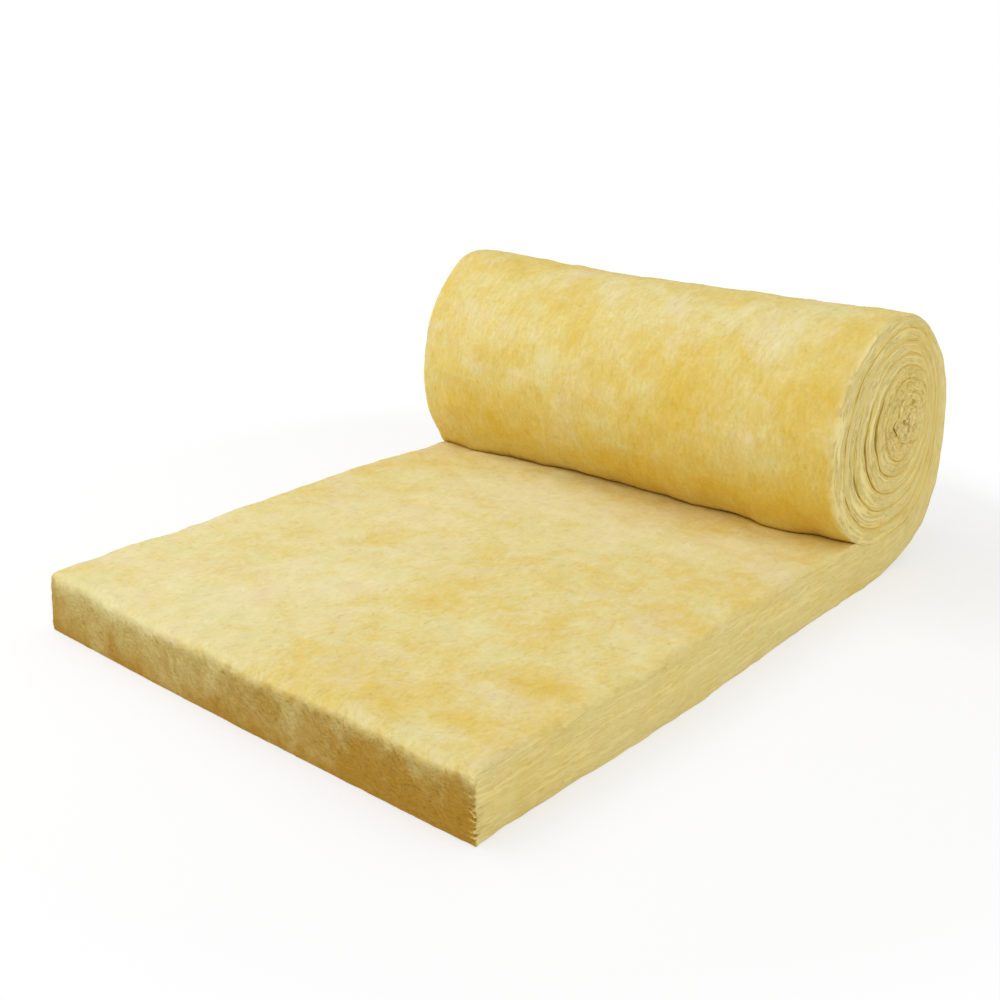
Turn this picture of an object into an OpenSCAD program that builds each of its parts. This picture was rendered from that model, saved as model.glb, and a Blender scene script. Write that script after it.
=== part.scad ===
// Glass wool insulation blanket, partly unrolled: one length of wool that lies flat
// and is wound into a roll at its far end, the roll resting on the flat length.
//
// X runs across the blanket, along the roll's axis. Y runs along the flat length,
// towards the roll. The origin is on the floor, at the middle of the part's outline.

/* [Blanket] */
// Width of the blanket, along the roll's axis
blanket_w = 1200; // [400:10:1300]
// Thickness of the blanket where it lies flat
blanket_t = 130; // [60:1:200]
// Length that lies flat, from the free end to below the roll's axis
flat_l = 1390; // [600:10:4000]
// Rounding of the blanket's soft cut edges
edge_r = 14; // [4:1:24]

/* [Roll] */
// Height of the roll, from its seat in the flat length to its top
roll_d = 520; // [300:5:900]
// Thickness of one wound turn, squeezed by the winding
turn_t = 33; // [20:1:60]
// Depth that the roll settles into the flat length under it
seat_sink = 30; // [8:1:45]

/* [Turn seam] */
// Width of the seam between two turns, down in the ends of the roll
seam_w = 3; // [1:0.5:6]
// Width of the seam's mouth, where the turns round over
seam_mouth_w = 11; // [7:0.5:16]
// Depth of the flared mouth
seam_mouth_d = 8; // [2:1:14]
// Depth of the whole seam into each end of the roll
seam_d = 24; // [16:1:60]

/* [Hidden] */
$fn = 96;
wool_yellow = [0.90, 0.81, 0.53];

// Lowest and highest point of the roll above the floor
seat_z = blanket_t - seat_sink;
top_z = seat_z + roll_d;

// The spiral is a chain of half turns about two levels of centre. Half turn 0 is the
// far side of the outermost turn, where the flat length bends up off the floor. Odd half
// turns are on the near side. Every half turn ends where the next one starts.
function turn_bottom(k) = k == 0 ? 0 : seat_z + turn_t * floor((k - 1) / 2);
function turn_top(k) = top_z - turn_t * floor(k / 2);
function turn_r(k) = (turn_top(k) - turn_bottom(k)) / 2;
function turn_z(k) = (turn_top(k) + turn_bottom(k)) / 2;
function is_far(k) = k % 2 == 0;

// The wool's inner end fills the eye of the roll, so the seam stops short of it
eye_r = 0.6 * turn_t;
half_turns = ceil((roll_d - 2 * eye_r) / turn_t);

// Place of the roll's axis that puts the origin at the middle of the outline
axis_y = (flat_l - turn_r(0)) / 2;

// Room that a cut runs past the face it starts from
cut_past = 1;

// Rectangle with rounded corners, centred on X and standing on Y = 0
module soft_section(w, h, r) {
    translate([-w / 2, r]) square([w, h - 2 * r]);
    translate([r - w / 2, 0]) square([w - 2 * r, h]);
    for (x = [r - w / 2, w / 2 - r], y = [r, h - r]) translate([x, y]) circle(r);
}

// Side view of the flat length: its free end is rounded, its other end is below the roll
module flat_side_view() {
    translate([-flat_l, edge_r]) square([flat_l, blanket_t - 2 * edge_r]);
    translate([edge_r - flat_l, 0]) square([flat_l - edge_r, blanket_t]);
    for (z = [edge_r, blanket_t - edge_r]) translate([edge_r - flat_l, z]) circle(edge_r);
}

// Stretches a side view, drawn as Y and Z, across a width centred on X
module across(w) {
    translate([-w / 2, 0, 0]) rotate([90, 0, 90]) linear_extrude(w) children();
}

// Turns a half section, drawn as radius and place across, through half turn k
module half_turn(k) {
    translate([0, 0, turn_z(k)])
        mirror([0, is_far(k) ? 0 : 1, 0])
            rotate([0, 90, 0])
                rotate_extrude(angle = 180) children();
}

// The blanket where it lies flat, soft along all its cut edges
module flat_length() {
    intersection() {
        across(blanket_w) flat_side_view();
        rotate([90, 0, 0]) linear_extrude(flat_l) soft_section(blanket_w, blanket_t, edge_r);
    }
}

// Half section of the outermost turn, soft at both rims
module rim_section(r) {
    translate([0, -blanket_w / 2]) square([r - edge_r, blanket_w]);
    translate([0, edge_r - blanket_w / 2]) square([r, blanket_w - 2 * edge_r]);
    for (x = [edge_r - blanket_w / 2, blanket_w / 2 - edge_r]) translate([r - edge_r, x]) circle(edge_r);
}

// The wound wool: the far half takes the bend up off the floor, the near half the seat
module wound_roll() {
    for (k = [0, 1]) half_turn(k) rim_section(turn_r(k));
}

// Section of the seam at both ends of the roll: a slot with a flared mouth
module seam_section(r) {
    for (end = [0, 1]) mirror([0, end])
        translate([r, blanket_w / 2])
            polygon([
                [-seam_mouth_w / 2, cut_past],
                [-seam_mouth_w / 2, 0],
                [-seam_w / 2, -seam_mouth_d],
                [-seam_w / 2, -seam_d],
                [seam_w / 2, -seam_d],
                [seam_w / 2, -seam_mouth_d],
                [seam_mouth_w / 2, 0],
                [seam_mouth_w / 2, cut_past]
            ]);
}

// The spiral line between the turns, from the seat in to the eye
module turn_seam() {
    intersection() {
        half_turn(1) seam_section(turn_r(1));
        translate([-blanket_w, -roll_d, 0]) cube([2 * blanket_w, roll_d, blanket_t]);
    }
    for (k = [2 : half_turns]) half_turn(k) seam_section(turn_r(k));
}

module blanket() {
    color(wool_yellow)
        translate([0, axis_y, 0])
            difference() {
                union() {
                    flat_length();
                    wound_roll();
                }
                turn_seam();
            }
}

blanket();
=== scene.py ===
"""Looks of a partly unrolled glass wool blanket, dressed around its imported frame."""

import logging
import math
from collections.abc import Callable
from dataclasses import dataclass, field
from enum import Enum
from functools import cached_property

import bmesh
import bpy
import numpy as np
from mathutils import Matrix, Vector, noise


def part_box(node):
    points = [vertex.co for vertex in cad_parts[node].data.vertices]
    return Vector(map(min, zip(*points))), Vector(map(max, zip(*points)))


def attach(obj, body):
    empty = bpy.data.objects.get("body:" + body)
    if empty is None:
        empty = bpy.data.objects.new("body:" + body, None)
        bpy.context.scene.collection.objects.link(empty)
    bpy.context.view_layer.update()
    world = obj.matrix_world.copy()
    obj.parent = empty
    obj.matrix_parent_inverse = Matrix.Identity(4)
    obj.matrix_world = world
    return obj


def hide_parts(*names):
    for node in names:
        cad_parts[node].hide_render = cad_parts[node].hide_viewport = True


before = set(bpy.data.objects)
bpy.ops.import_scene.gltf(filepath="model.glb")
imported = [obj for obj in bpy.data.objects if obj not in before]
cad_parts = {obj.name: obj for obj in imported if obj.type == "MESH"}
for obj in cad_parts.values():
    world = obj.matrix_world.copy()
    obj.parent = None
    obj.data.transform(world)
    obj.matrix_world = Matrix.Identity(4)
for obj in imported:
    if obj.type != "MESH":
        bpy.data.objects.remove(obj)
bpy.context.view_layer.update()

LOG = logging.getLogger("blanket")
BODY = "root"
NODE = "blanket"
NOISE_SEED = 2

Colour = tuple[float, float, float]


def linear(colour: Colour) -> tuple[float, float, float, float]:
    """Turns a display colour into the linear colour that a socket takes.

    Args:
        colour: Red, green and blue from 0 to 255, as a screen shows them.

    Returns:
        Linear red, green, blue and an alpha of 1.
    """
    parts = [part / 255 for part in colour]
    return (*(p / 12.92 if p <= 0.04045 else ((p + 0.055) / 1.055) ** 2.4 for p in parts), 1.0)


def ease(values: np.ndarray, start: float, end: float) -> np.ndarray:
    """Smooth step from 0 at start to 1 at end, which may be below start."""
    share = np.clip((values - start) / (end - start), 0, 1)
    return share * share * (3 - 2 * share)


def bell(values: np.ndarray, middle: float, width: float) -> np.ndarray:
    """Smooth hump of height 1 at the middle that dies out over about twice the width."""
    return np.exp(-(((values - middle) / width) ** 2))


@dataclass(frozen=True)
class Lumps:
    """Smooth random lumps of one size.

    Attributes:
        size: Width of a lump in metres.
        move: How far a lump moves the wool in metres.
        seed: Picks another part of the noise.
        octaves: Number of finer and finer layers.
    """

    size: float
    move: float
    seed: int
    octaves: int = 2

    def heights(self, *place: np.ndarray) -> np.ndarray:
        """Height of the lumps at each place, given axis by axis; an axis left out is 0."""
        axes = list(np.broadcast_arrays(*place))
        axes += [np.zeros_like(axes[0])] * (3 - len(axes))
        shifted = np.stack(axes, -1) / self.size + 31.7 * self.seed
        return self.move * np.array([noise.fractal(p, 1.0, 2.0, self.octaves) for p in shifted.tolist()])

    def shifts(self, points: np.ndarray) -> np.ndarray:
        """A smooth random shift for each point, one row each."""
        shifted = points / self.size + 31.7 * self.seed
        return self.move * np.array([noise.noise_vector(p) for p in shifted.tolist()])


@dataclass(frozen=True)
class Winding:
    """The blanket's path in side view, from its free end to the eye of the roll.

    It lies flat up to below the roll's axis, bends up round the far side, which is half turn 0,
    and then winds inwards: odd half turns go down the near side, even ones up the far side.
    """

    width: float
    flat_l: float
    top_z: float
    axis_y: float
    thick: float = 0.130
    turn: float = 0.033
    sink: float = 0.030
    gap: float = 0.0004
    crease_softness: float = 0.002
    eye_wool: float = 0.0015

    @classmethod
    def from_frame(cls, node: str) -> "Winding":
        """Takes the width, the lengths and the roll's place from the node's box."""
        low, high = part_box(node)
        axis_y = high.y - high.z / 2
        return cls(width=high.x - low.x, flat_l=axis_y - low.y, top_z=high.z, axis_y=axis_y)

    @property
    def seat_z(self) -> float:
        """Height of the roll's lowest point above the floor."""
        return self.thick - self.sink

    @property
    def near_r(self) -> float:
        """Radius of the roll's near side."""
        return (self.top_z - self.seat_z) / 2

    @property
    def near_z(self) -> float:
        """Height of the near half turns' centre."""
        return (self.top_z + self.seat_z) / 2

    @property
    def crease_along(self) -> float:
        """Distance along the blanket from its free end to the crease in front of the roll."""
        return self.flat_l - math.sqrt(self.near_r**2 - (self.near_z - self.thick) ** 2)

    @property
    def crease_on_roll(self) -> float:
        """Distance along the blanket to where the roll's near side meets the flat length."""
        return self.starts[2] - (self.flat_l - self.crease_along)

    @cached_property
    def radii(self) -> np.ndarray:
        """Outer radius of each half turn."""
        count = int((self.near_r - self.eye_wool) / (self.turn / 2)) + 1
        return np.array([self.top_z / 2] + [self.near_r - k * self.turn / 2 for k in range(count)])

    @cached_property
    def centres(self) -> np.ndarray:
        """Height of each half turn's centre above the floor."""
        levels = [self.near_z if k % 2 else self.near_z - self.turn / 2 for k in range(len(self.radii))]
        return np.array([self.top_z / 2] + levels[1:])

    @cached_property
    def starts(self) -> np.ndarray:
        """Distance along the blanket to the start of each half turn, and to the inner end."""
        middles = self.radii - self.turn / 2
        middles[0] = (self.radii[0] + self.radii[2]) / 2
        middles[-1] = max(middles[-1], self.turn / 4)
        return self.flat_l + np.concatenate([[0], np.cumsum(math.pi * middles)])

    @property
    def length(self) -> float:
        """Whole length of the blanket."""
        return float(self.starts[-1])

    def half_turn(self, along: np.ndarray) -> np.ndarray:
        """Number of the half turn at each distance, or -1 where the blanket lies flat."""
        return np.clip(np.searchsorted(self.starts, along, side="right") - 1, -1, len(self.radii) - 1)

    def angle(self, along: np.ndarray) -> np.ndarray:
        """Angle turned within the half turn at each distance, from 0 to pi."""
        k = np.maximum(self.half_turn(along), 0)
        return math.pi * (along - self.starts[k]) / (self.starts[k + 1] - self.starts[k])

    def farness(self, along: np.ndarray) -> np.ndarray:
        """From -1 on the roll's near side to 1 on its far side, and 0 where the blanket lies flat."""
        k = self.half_turn(along)
        return np.where(k < 0, 0.0, np.where(k % 2 == 1, -1.0, 1.0) * np.sin(self.angle(along)))

    def bend_faces(self, angle: np.ndarray) -> tuple[np.ndarray, np.ndarray]:
        """Outer and inner face of the bend up, as y from the axis and z, one row per angle."""
        inner_r = self.radii[2] + self.gap
        sine, cosine = np.sin(angle), np.cos(angle)
        outer = np.stack([self.radii[0] * sine, self.centres[0] - self.radii[0] * cosine], -1)
        inner = np.stack([inner_r * sine, self.centres[2] - inner_r * cosine], -1)
        return outer, inner

    def thickness(self, along: np.ndarray) -> np.ndarray:
        """Thickness of the blanket at each distance, squeezed under the roll and in its turns."""
        k = self.half_turn(along)
        from_axis = np.clip(along - self.flat_l, -self.near_r, 0)
        under = self.near_z - np.sqrt(self.near_r**2 - from_axis**2) - self.gap
        soft = self.crease_softness
        squeezed = -soft * np.logaddexp(-self.thick / soft, -under / soft)
        outer, inner = self.bend_faces(self.angle(along))
        bend = np.linalg.norm(inner - outer, axis=-1)
        wound = np.minimum(self.turn - self.gap, self.radii[np.maximum(k, 0)] - self.eye_wool)
        wound = np.maximum(wound, self.eye_wool)
        return np.where(k < 0, squeezed, np.where(k == 0, bend, wound))

    def place(self, along: np.ndarray, rise: np.ndarray) -> tuple[np.ndarray, np.ndarray]:
        """Winds points of the straight blanket into place.

        Args:
            along: Distance of each point from the free end.
            rise: Height of each point above the blanket's outer face.

        Returns:
            The points' y and z.
        """
        k = self.half_turn(along)
        angle = self.angle(along)
        outer, inner = self.bend_faces(angle)
        share = (rise / self.thickness(along))[:, None]
        bend = outer + (inner - outer) * share
        side = np.where(k % 2 == 1, -1.0, 1.0)
        rho = self.radii[np.maximum(k, 0)] - rise
        wound_y = side * rho * np.sin(angle)
        wound_z = self.centres[np.maximum(k, 0)] - side * rho * np.cos(angle)
        y = np.where(k < 0, along - self.flat_l, np.where(k == 0, bend[:, 0], wound_y))
        z = np.where(k < 0, rise, np.where(k == 0, bend[:, 1], wound_z))
        return y + self.axis_y, z


class Axis(Enum):
    """Direction of an edge of the straight blanket."""

    ACROSS = 0
    ALONG = 1
    THROUGH = 2


class Bed(Enum):
    """The face of the blanket that a piece of loose fibres lies on."""

    SLAB = "slab_fibres"
    ROLL = "roll_fibres"
    SIDES = "side_fibres"
    FREE_END = "end_fibres"
    CORNERS = "corner_tufts"


@dataclass(frozen=True)
class SoftEdges:
    """How far the wool rounds over at its edges: down the cut face, and in over the skin.

    Attributes:
        top: Down from the flat length's top skin.
        top_in: In over that skin from the sides.
        end_in: In over that skin from the free end.
        floor: Both ways at the skin that lies on the floor.
        rim: Along the roll's end from its outer skin.
        rim_in: In over the outer skin from the roll's end.
        lip_share: Share of a turn's thickness at each seam between two turns.
        lip_more: How much larger that share is at the level of the roll's axis.
        lip_least: What is left of that share where a seam is shut.
        lip_in: Depth of such a seam where it is open.
        shut: How open a seam is on the far side, at the top and at the foot.
        open_at: Where on the near side it is most open, in degrees down from the roll's top.
        seat_open: How far the seam under the roll opens, beside one between turns.
        seat_reach: Length over which the roll's foot is joined to the flat length.
        left_share: Share of these sizes at the left side, which is crisper.
        open_over: Length over which an edge changes from one of these to the next.
    """

    top: float = 0.028
    top_in: float = 0.022
    end_in: float = 0.030
    floor: float = 0.003
    rim: float = 0.014
    rim_in: float = 0.020
    lip_share: float = 0.05
    lip_more: float = 0.10
    lip_least: float = 0.06
    lip_in: float = 0.0028
    shut: float = 0.08
    open_at: float = 104.0
    open_width: float = 34.0
    seat_open: float = 0.03
    seat_reach: float = 0.16
    left_share: float = 0.35
    open_over: float = 0.10


@dataclass(frozen=True)
class Slump:
    """How the soft roll settles, in metres and, round its near side, in degrees up from level.

    Attributes:
        eye_shift: How far the inner turns have slipped to the far side.
        eye_lift: How far they have slipped up.
        crease: How far the roll's foot pushes the crease forward.
        crease_left: How much further it does at the left end.
        crease_right: How much further it does at one place towards the right.
        crease_waves: The small waves of the crease.
        fade_up: Height over which the push dies out.
        shoulder: How far the left end's shoulder is raised.
        hollow: How far the left end is drawn in below it.
        heel: How far the bend up fills out at its foot, in degrees up from its lowest point.
        top_sag: How far the roll's top sags along its middle.
        side_swell: How far the flat length's right side swells out along its middle.
        left_swell: How far its left edge is raised in front of the roll.
        corner_lift: How far that edge is raised at the free end.
        end_swell: How far the free end bows out at its middle.
        left_draw: How far the top of the free end's left corner is drawn in.
    """

    eye_shift: float = 0.085
    eye_lift: float = 0.018
    crease: float = 0.016
    crease_left: float = 0.040
    crease_right: float = 0.016
    crease_right_at: float = 0.39
    crease_right_width: float = 0.10
    crease_waves: Lumps = Lumps(0.09, 0.014, 15)
    fade_up: float = 0.045
    shoulder: float = 0.022
    shoulder_at: float = 75.0
    shoulder_width: float = 20.0
    hollow: float = 0.012
    hollow_at: float = 8.0
    hollow_width: float = 25.0
    heel: float = 0.036
    heel_at: float = 45.0
    heel_width: float = 25.0
    top_sag: float = 0.008
    side_swell: float = 0.013
    side_swell_at: float = 0.55
    side_swell_length: float = 0.38
    left_swell: float = 0.010
    left_swell_at: float = 0.85
    left_swell_length: float = 0.25
    corner_lift: float = 0.008
    corner_lift_at: float = 0.03
    corner_lift_length: float = 0.09
    end_swell: float = 0.006
    end_swell_reach: float = 0.30
    left_draw: float = 0.018
    left_draw_reach: float = 0.12


@dataclass(frozen=True)
class Patch:
    """A soft patch of gold wool, or of pale wool below 0, on a skin of the blanket."""

    across: float
    along: float
    wide: float
    long: float
    tone: float


SLAB_PATCHES = (
    Patch(0.50, 0.29, 0.08, 0.045, 0.20),
    Patch(0.48, 0.12, 0.06, 0.035, 0.14),
    Patch(0.37, 0.07, 0.06, 0.030, 0.12),
    Patch(-0.46, 0.09, 0.08, 0.040, 0.10),
    Patch(-0.29, 0.24, 0.10, 0.050, 0.12),
    Patch(-0.23, 0.91, 0.12, 0.060, 0.06),
    Patch(0.10, 0.43, 0.12, 0.060, 0.04),
    Patch(0.55, 0.80, 0.08, 0.100, 0.06),
    Patch(0.41, 0.58, 0.14, 0.080, -0.06),
    Patch(-0.05, 1.06, 0.25, 0.100, -0.26),
    Patch(0.48, 0.97, 0.12, 0.080, -0.08),
)
ROLL_PATCHES = (
    Patch(0.50, 2.56, 0.10, 0.080, 0.14),
    Patch(0.56, 2.42, 0.08, 0.120, 0.14),
    Patch(0.15, 2.57, 0.14, 0.070, 0.10),
    Patch(-0.35, 2.76, 0.14, 0.060, 0.08),
    Patch(0.50, 2.80, 0.20, 0.090, 0.18),
    Patch(-0.55, 2.43, 0.20, 0.100, 0.08),
    Patch(0.04, 2.39, 0.20, 0.060, -0.08),
)


@dataclass
class Blanket:
    """The wool blanket: one strip, modelled straight and then wound into place."""

    path: Winding
    edges: SoftEdges = SoftEdges()
    slump: Slump = Slump()
    columns: tuple[int, int] = (38, 30)
    rows: int = 14
    strips: tuple[int, int] = (15, 10)
    eye_crowding: float = 0.35
    crease_spare: float = 0.03
    soft_angle: float = 60.0
    patches: tuple[Patch, ...] = SLAB_PATCHES + ROLL_PATCHES
    skin_lumps: tuple[Lumps, ...] = (
        Lumps(0.23, 0.0035, 11), Lumps(0.06, 0.0018, 12), Lumps(0.020, 0.0010, 13)
    )
    crease_humps: Lumps = Lumps(0.070, 0.008, 14)
    cut_tufts: Lumps = Lumps(0.008, 0.0035, 3)
    slid_turns: Lumps = Lumps(0.33, 0.0035, 4)
    slits: tuple[tuple[float, Lumps], ...] = ((5 / 14, Lumps(0.25, 1.6, 17)), (9 / 14, Lumps(0.25, 1.6, 18)))
    slit_width: float = 0.05
    slit_in: float = 0.003
    end_tufts: Lumps = Lumps(0.024, 0.0045, 5)
    end_waves: Lumps = Lumps(0.16, 0.004, 6)
    whole_shifts: tuple[Lumps, ...] = (Lumps(0.17, 0.004, 7), Lumps(0.06, 0.002, 8))
    turn_shifts: tuple[Lumps, ...] = (Lumps(0.09, 0.006, 9), Lumps(0.030, 0.0045, 10))
    seam_changes: Lumps = Lumps(0.12, 0.6, 2)
    seam_side: float = 0.005
    corner_rows: int = 4
    corner_zone: float = 0.045
    corner_layer: float = 0.0105
    corner_bulge: float = 0.0042
    corner_reach: float = 0.024
    corner_waves: Lumps = Lumps(0.022, 1.0, 16)
    front_fringe: float = 0.039
    left_fringe: float = 0.014
    right_fringe: float = 0.012
    across: np.ndarray = field(init=False)
    along: np.ndarray = field(init=False)
    through: np.ndarray = field(init=False)
    seam_shade_band: np.ndarray = field(init=False)
    marks: dict[str, np.ndarray] = field(init=False, default_factory=dict)

    def build(self) -> bpy.types.Object:
        """Models the strip, winds it and lets it settle.

        Returns:
            The finished mesh object.
        """
        obj = self.add_straight_strip()
        mesh = obj.data
        self.across, along, rise = self.read_points(mesh).T
        self.along = self.meet_crease(self.crowd_columns(along))
        self.through = rise / self.path.thick
        points = self.settle(self.wind())
        self.write_points(mesh, points)
        self.write_points(mesh, self.swell_skins(points, self.read_points(mesh, "normal")))
        bpy.ops.object.shade_smooth_by_angle(angle=math.radians(self.soft_angle))
        self.store_marks(mesh)
        return obj

    @staticmethod
    def read_points(mesh: bpy.types.Mesh, what: str = "co") -> np.ndarray:
        """Reads the mesh's points, or another vector that they have, one row each."""
        values = np.empty(len(mesh.vertices) * 3)
        mesh.vertices.foreach_get(what, values)
        return values.reshape(-1, 3)

    @staticmethod
    def write_points(mesh: bpy.types.Mesh, points: np.ndarray) -> None:
        """Moves the mesh's points to new places."""
        mesh.vertices.foreach_set("co", points.ravel())
        mesh.update()

    def add_straight_strip(self) -> bpy.types.Object:
        """Adds a box of the blanket's whole length and cuts it finely where the wool shows."""
        bpy.ops.object.select_all(action="DESELECT")
        bpy.ops.mesh.primitive_cube_add(size=1.0)
        obj = bpy.context.active_object
        obj.name = obj.data.name = "wool_blanket"
        bpy.ops.object.mode_set(mode="EDIT")
        size = (self.path.width, self.path.length, self.path.thick)
        bpy.ops.transform.resize(value=size, center_override=(0, 0, 0))
        bpy.ops.transform.translate(value=(0, size[1] / 2, size[2] / 2))
        for pieces in self.columns:
            self.cut_edges(obj, Axis.ALONG, pieces, lambda middle: True)
        self.cut_edges(obj, Axis.THROUGH, self.rows, lambda middle: True)
        for pieces in self.strips:
            self.cut_edges(obj, Axis.ACROSS, pieces, self.shows)
        self.cut_edges(obj, Axis.THROUGH, self.corner_rows, self.at_near_corner)
        bpy.ops.object.mode_set(mode="OBJECT")
        return obj

    @staticmethod
    def cut_edges(
        obj: bpy.types.Object, axis: Axis, pieces: int, wanted: Callable[[Vector], bool]
    ) -> None:
        """Cuts the edges that run along one axis into equal pieces, in edit mode.

        Args:
            obj: The strip.
            axis: Direction of the edges.
            pieces: Number of pieces that each edge is cut into.
            wanted: Says from an edge's middle whether it is cut.
        """
        bpy.ops.mesh.select_mode(type="EDGE")
        bpy.ops.mesh.select_all(action="DESELECT")
        strip = bmesh.from_edit_mesh(obj.data)
        for edge in strip.edges:
            first, second = (vert.co for vert in edge.verts)
            run = second - first
            if abs(run[axis.value]) > 0.99 * run.length and wanted((first + second) / 2):
                edge.select_set(True)
        bmesh.update_edit_mesh(obj.data)
        bpy.ops.mesh.subdivide(number_cuts=pieces - 1)

    def shows(self, middle: Vector) -> bool:
        """Whether a place on the straight strip is on a skin or end that shows."""
        path, spare = self.path, self.crease_spare
        along = float(self.crowd_columns(np.array([middle.y]))[0])
        on_top = middle.z > 0.999 * path.thick and along < path.crease_along + spare
        past_floor = path.flat_l - spare < along < path.crease_on_roll + spare
        on_roll = middle.z < 0.001 * path.thick and past_floor
        at_free_end = middle.y < 0.0001
        return on_top or on_roll or at_free_end

    def at_near_corner(self, middle: Vector) -> bool:
        """Whether a place on the straight strip is by the free end's right corner."""
        return middle.y < self.corner_zone and middle.x > self.path.width / 2 - self.corner_zone

    def crowd_columns(self, along: np.ndarray) -> np.ndarray:
        """Moves the strip's even columns closer together towards the eye of the roll."""
        share = along / self.path.length
        return self.path.length * (share + self.eye_crowding * share * (1 - share) * share)

    def meet_crease(self, along: np.ndarray) -> np.ndarray:
        """Shifts the columns a little so that one lies in the crease on each of its two sides."""
        for crease in (self.path.crease_along, self.path.crease_on_roll):
            off = along - crease
            nearest = off[np.argmin(np.abs(off))]
            along = along - nearest * bell(off, nearest, self.crease_spare)
        return along

    def edge_sizes(self, seam: np.ndarray, top: np.ndarray) -> tuple[np.ndarray, np.ndarray]:
        """How far the edge nearest to each point rounds over, down the cut face and in over the skin.

        Args:
            seam: How open the seam between two turns is at each point.
            top: Whether the point is nearer to the blanket's inner face.

        Returns:
            The two sizes at each point.
        """
        path, edges, s = self.path, self.edges, self.along
        lip_share = edges.lip_share + edges.lip_more * np.abs(path.farness(s))
        lip_share = lip_share * np.clip(seam, edges.lip_least, 1)
        lip, lip_in = lip_share * path.thickness(s), edges.lip_in * seam
        in_air = ease(s, path.crease_along, path.crease_along - edges.open_over)
        on_floor = ease(s, path.flat_l + edges.open_over, path.flat_l)
        on_rim = (1 - on_floor) * ease(s, path.crease_on_roll, path.crease_on_roll - edges.open_over)
        between = 1 - on_floor - on_rim
        crisp = np.where(self.across < 0, edges.left_share, 1.0)
        outer = edges.floor * on_floor + edges.rim * crisp * on_rim + lip * between
        outer_in = edges.floor * on_floor + edges.rim_in * crisp * on_rim + lip_in * between
        inner = edges.top * crisp * in_air + lip * (1 - in_air)
        inner_in = edges.top_in * crisp * in_air + lip_in * (1 - in_air)
        return np.where(top, inner, outer), np.where(top, inner_in, outer_in)

    def seam_opening(self) -> np.ndarray:
        """How open the seam is at each point: most on the near side, least under the roll."""
        path, edges, s = self.path, self.edges, self.along
        angle, k = path.angle(s), path.half_turn(s)
        changes = np.maximum(1 + self.seam_changes.heights(s, 0.3 * np.sign(self.across)), 0.2)
        seat = ease(s, path.crease_along - 0.02, path.crease_along + 0.05)
        seat = seat * ease(s, path.starts[0] + 0.25, path.starts[0] + 0.05)
        seat = np.maximum(seat, bell(s, path.starts[2], edges.seat_reach))
        near = (k > 0) * (k % 2) * bell(np.degrees(angle), edges.open_at, edges.open_width)
        from_eye = ease(path.radii[np.maximum(k, 0)], 0.0, 0.10)
        opening = (edges.shut + (1 - edges.shut) * near * from_eye) * changes
        return opening * (1 - (1 - edges.seat_open) * seat)

    def wind(self) -> np.ndarray:
        """Rounds the strip's soft edges, teases its cut faces and winds it into place.

        Returns:
            The points of the wound blanket, one row each.
        """
        path, s, thick = self.path, self.along, self.path.thickness(self.along)
        side, depth = np.sign(self.across), self.through * thick
        wound = ease(s, path.starts[0], path.starts[1])
        top = self.through > 0.5
        opening = self.seam_opening()
        down, inward = self.edge_sizes(opening, top)
        room_x = path.width / 2 - np.abs(self.across)
        room_q = np.where(top, thick - depth, depth)
        from_left = ease(self.across, -0.5 * path.width, -0.35 * path.width)
        end_in = self.edges.end_in * (self.edges.left_share + (1 - self.edges.left_share) * from_left)
        end_in = np.where(top, end_in, self.edges.floor)
        near_x = np.clip(1 - room_x / inward, 0, 1)
        near_s = np.clip(1 - s / end_in, 0, 1)
        near_q = np.clip(1 - room_q / down, 0, 1)
        pull = 1 / np.maximum(np.hypot(np.maximum(near_x, near_s), near_q), 1)
        room_x = np.where(near_x > 0, inward * (1 - near_x * pull), room_x)
        s = np.where(near_s > 0, end_in * (1 - near_s * pull), s)
        room_q = np.where(near_q > 0, down * (1 - near_q * pull), room_q)
        q = np.where(top, thick - room_q, room_q)

        flush = wound * self.by_seam() * (1 - np.clip(opening, 0, 1))
        tufts = self.cut_tufts.heights(0.3 * side, s / 8, depth) + 0.3 * self.cut_tufts.move
        tufts = tufts * (1 - flush)
        slid = wound * self.slid_turns.heights(0.4 * side, s, 0.1 * self.through)
        slid = slid * (1 - bell(s, path.starts[2], self.edges.seat_reach))
        slid = slid * (0.1 + 0.9 * np.clip(-path.farness(s), 0, 1))
        slit = self.turn_slits(opening) * wound
        x = side * (path.width / 2 - room_x - near_x * (tufts + slid + self.slit_in * slit))
        loose = near_s * (0.15 + 0.85 * self.through) * (0.2 + 0.8 * from_left)
        bulge, groove = self.corner_layers(1.6 * room_x + 0.8 * s, depth)
        x = x + bulge
        s = s + loose * (self.end_tufts.heights(x, 0 * x, q) + 0.4 * self.end_tufts.move)
        s = s + loose * self.end_waves.heights(x) - bulge
        self.mark_cut_faces(near_x, near_q, opening, wound)
        # Painted shade: the grooves between the corner's layers and the slits in the turns join the seam
        # mark, which darkens them as the shade in these recesses.
        self.marks["seam"] = self.marks["seam"] + groove + 0.7 * slit * near_x**2
        # Painted highlight: the bulging layers at the corner lose the free end's ochre and show paler than
        # the grooves between them.
        self.marks["front"] = self.marks["front"] * (1 - np.clip(2.2 * bulge / self.corner_bulge, 0, 1))
        y, z = path.place(s, q)
        return np.stack([x, y, z], -1)

    def turn_slits(self, opening: np.ndarray) -> np.ndarray:
        """The broken slits between a turn's own layers, from 0 to 1 at each point."""
        slit = np.zeros_like(self.along)
        for place, changes in self.slits:
            shown = np.clip(0.3 + changes.heights(self.along, 0.3 * np.sign(self.across)), 0, 1)
            slit = slit + shown * bell(self.through, place, self.slit_width)
        return slit * np.clip(opening, 0, 1)

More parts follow.
